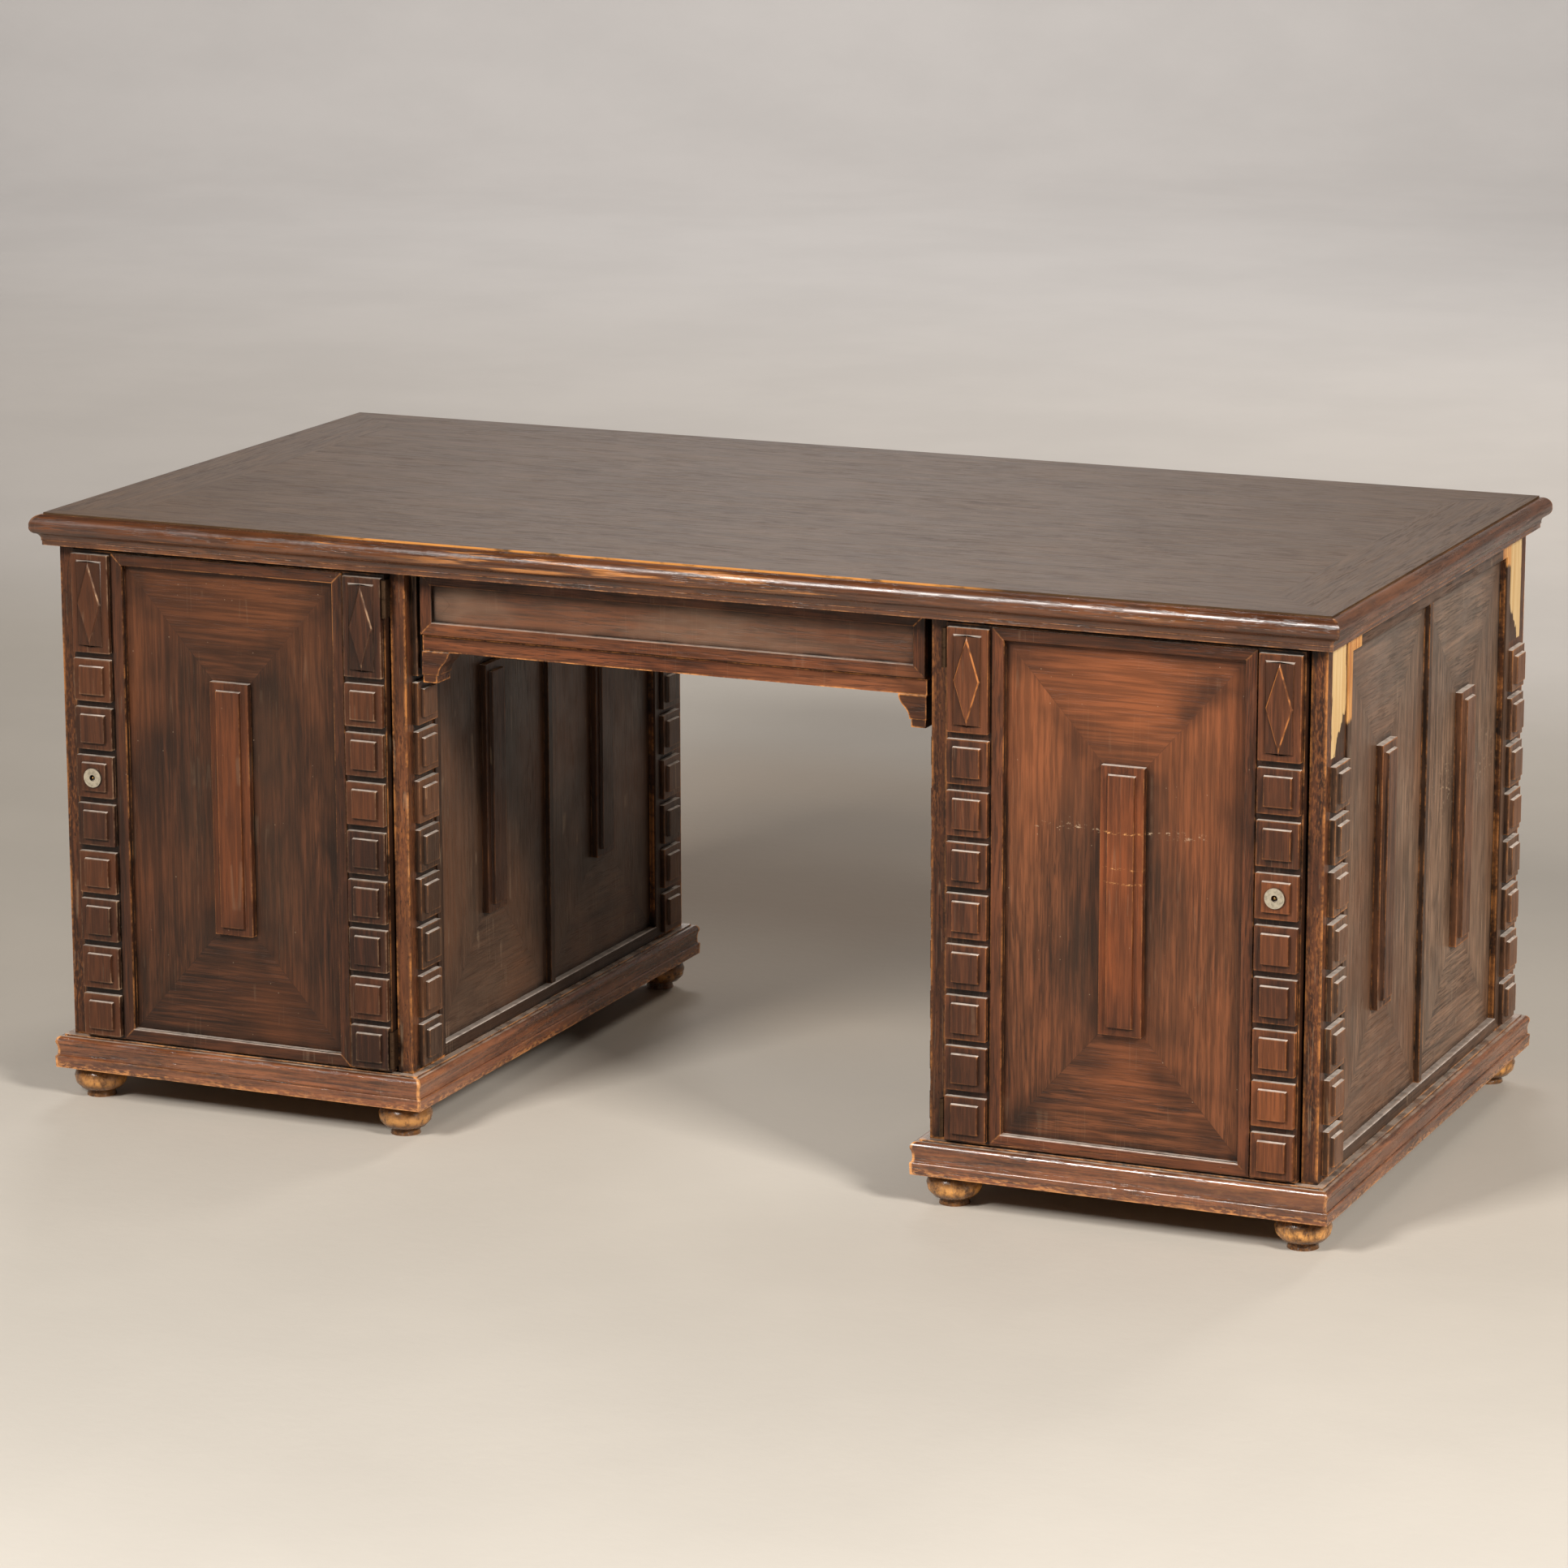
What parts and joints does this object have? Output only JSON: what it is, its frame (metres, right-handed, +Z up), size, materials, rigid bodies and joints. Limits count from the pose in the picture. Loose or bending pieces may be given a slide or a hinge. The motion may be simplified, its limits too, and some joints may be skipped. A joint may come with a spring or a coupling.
{
  "type": "partners desk",
  "caption": "Pedestal desk for two facing sitters: dark panelled cupboards with bossed doors on bun feet carry a moulded top, with a frieze drawer over the kneehole on each side",
  "frame": {"origin": "on the floor under the middle of the top", "axes": "+X along the desk to the right as seen from the pictured front, +Y to the back, +Z up"},
  "size_m": [1.7524, 0.8914, 0.78],
  "materials": {
    "top_wood": "dark grey-brown stain, worn satin polish",
    "moulding_wood": "dark brown stain, polished on the nosing, rubbed on the arrises",
    "carcass_wood": "dark red-brown stain, satin",
    "panel_wood": "quartered dark red-brown veneer, satin",
    "relief_wood": "red-brown stain, rubbed on the arrises",
    "foot_wood": "golden-brown polish, worn",
    "inner_wood": "unpolished, aged",
    "hinge_metal": "dulled steel",
    "lock_metal": "pale nickel, worn"
  },
  "bodies": {
    "carcass": {"top_core": "inner_wood", "top_veneer": "top_wood", "top_moulding": "moulding_wood", "top_bearers": "inner_wood", "locating_pegs": "inner_wood", "crown_boards": "inner_wood", "bottom_boards": "inner_wood", "partitions": "inner_wood", "shelves": "inner_wood", "shelf_cleats": "inner_wood", "plinth_mouldings": "moulding_wood", "foot_blocks": "inner_wood", "bun_feet": "foot_wood", "corner_stiles": "carcass_wood", "side_rails": "carcass_wood", "side_panels": "panel_wood", "side_strips": "carcass_wood", "side_tablets": "relief_wood", "side_bosses": "relief_wood", "side_lozenges": "relief_wood", "hinge_butts": "hinge_metal", "apron_rails": "carcass_wood", "apron_brackets": "relief_wood", "drawer_hangers": "inner_wood", "drawer_runners": "inner_wood"},
    "door_front_left": {"door_front_left_frame": "carcass_wood", "door_front_left_panel": "panel_wood", "door_front_left_mouldings": "carcass_wood", "door_front_left_bosses": "relief_wood", "door_front_left_hinges": "hinge_metal", "door_front_left_lock": "lock_metal"},
    "bolt_front_left": {"door_front_left_bolt": "hinge_metal"},
    "door_front_right": {"door_front_right_frame": "carcass_wood", "door_front_right_panel": "panel_wood", "door_front_right_mouldings": "carcass_wood", "door_front_right_bosses": "relief_wood", "door_front_right_hinges": "hinge_metal", "door_front_right_lock": "lock_metal"},
    "bolt_front_right": {"door_front_right_bolt": "hinge_metal"},
    "door_back_left": {"door_back_left_frame": "carcass_wood", "door_back_left_panel": "panel_wood", "door_back_left_mouldings": "carcass_wood", "door_back_left_bosses": "relief_wood", "door_back_left_hinges": "hinge_metal", "door_back_left_lock": "lock_metal"},
    "bolt_back_left": {"door_back_left_bolt": "hinge_metal"},
    "door_back_right": {"door_back_right_frame": "carcass_wood", "door_back_right_panel": "panel_wood", "door_back_right_mouldings": "carcass_wood", "door_back_right_bosses": "relief_wood", "door_back_right_hinges": "hinge_metal", "door_back_right_lock": "lock_metal"},
    "bolt_back_right": {"door_back_right_bolt": "hinge_metal"},
    "drawer_front": {"drawer_front_face": "carcass_wood", "drawer_front_box": "inner_wood"},
    "drawer_back": {"drawer_back_face": "carcass_wood", "drawer_back_box": "inner_wood"}
  },
  "joints": [
    {"name": "door_front_left_swing", "type": "hinge", "parent": "carcass", "child": "door_front_left", "pos_m": [-0.377, -0.425, 0.41], "axis": [0, 0, 1], "range_deg": [0, 90]},
    {"name": "bolt_front_left_throw", "type": "slide", "parent": "door_front_left", "child": "bolt_front_left", "axis": [-1, 0, 0], "range_m": [0, 0.009]},
    {"name": "door_front_right_swing", "type": "hinge", "parent": "carcass", "child": "door_front_right", "pos_m": [0.377, -0.425, 0.41], "axis": [0, 0, -1], "range_deg": [0, 90]},
    {"name": "bolt_front_right_throw", "type": "slide", "parent": "door_front_right", "child": "bolt_front_right", "axis": [1, 0, 0], "range_m": [0, 0.009]},
    {"name": "door_back_left_swing", "type": "hinge", "parent": "carcass", "child": "door_back_left", "pos_m": [-0.377, 0.425, 0.41], "axis": [0, 0, -1], "range_deg": [0, 90]},
    {"name": "bolt_back_left_throw", "type": "slide", "parent": "door_back_left", "child": "bolt_back_left", "axis": [-1, 0, 0], "range_m": [0, 0.009]},
    {"name": "door_back_right_swing", "type": "hinge", "parent": "carcass", "child": "door_back_right", "pos_m": [0.377, 0.425, 0.41], "axis": [0, 0, 1], "range_deg": [0, 90]},
    {"name": "bolt_back_right_throw", "type": "slide", "parent": "door_back_right", "child": "bolt_back_right", "axis": [1, 0, 0], "range_m": [0, 0.009]},
    {"name": "drawer_front_slide", "type": "slide", "parent": "carcass", "child": "drawer_front", "axis": [0, -1, 0], "range_m": [0, 0.26]},
    {"name": "drawer_back_slide", "type": "slide", "parent": "carcass", "child": "drawer_back", "axis": [0, 1, 0], "range_m": [0, 0.26]}
  ]
}
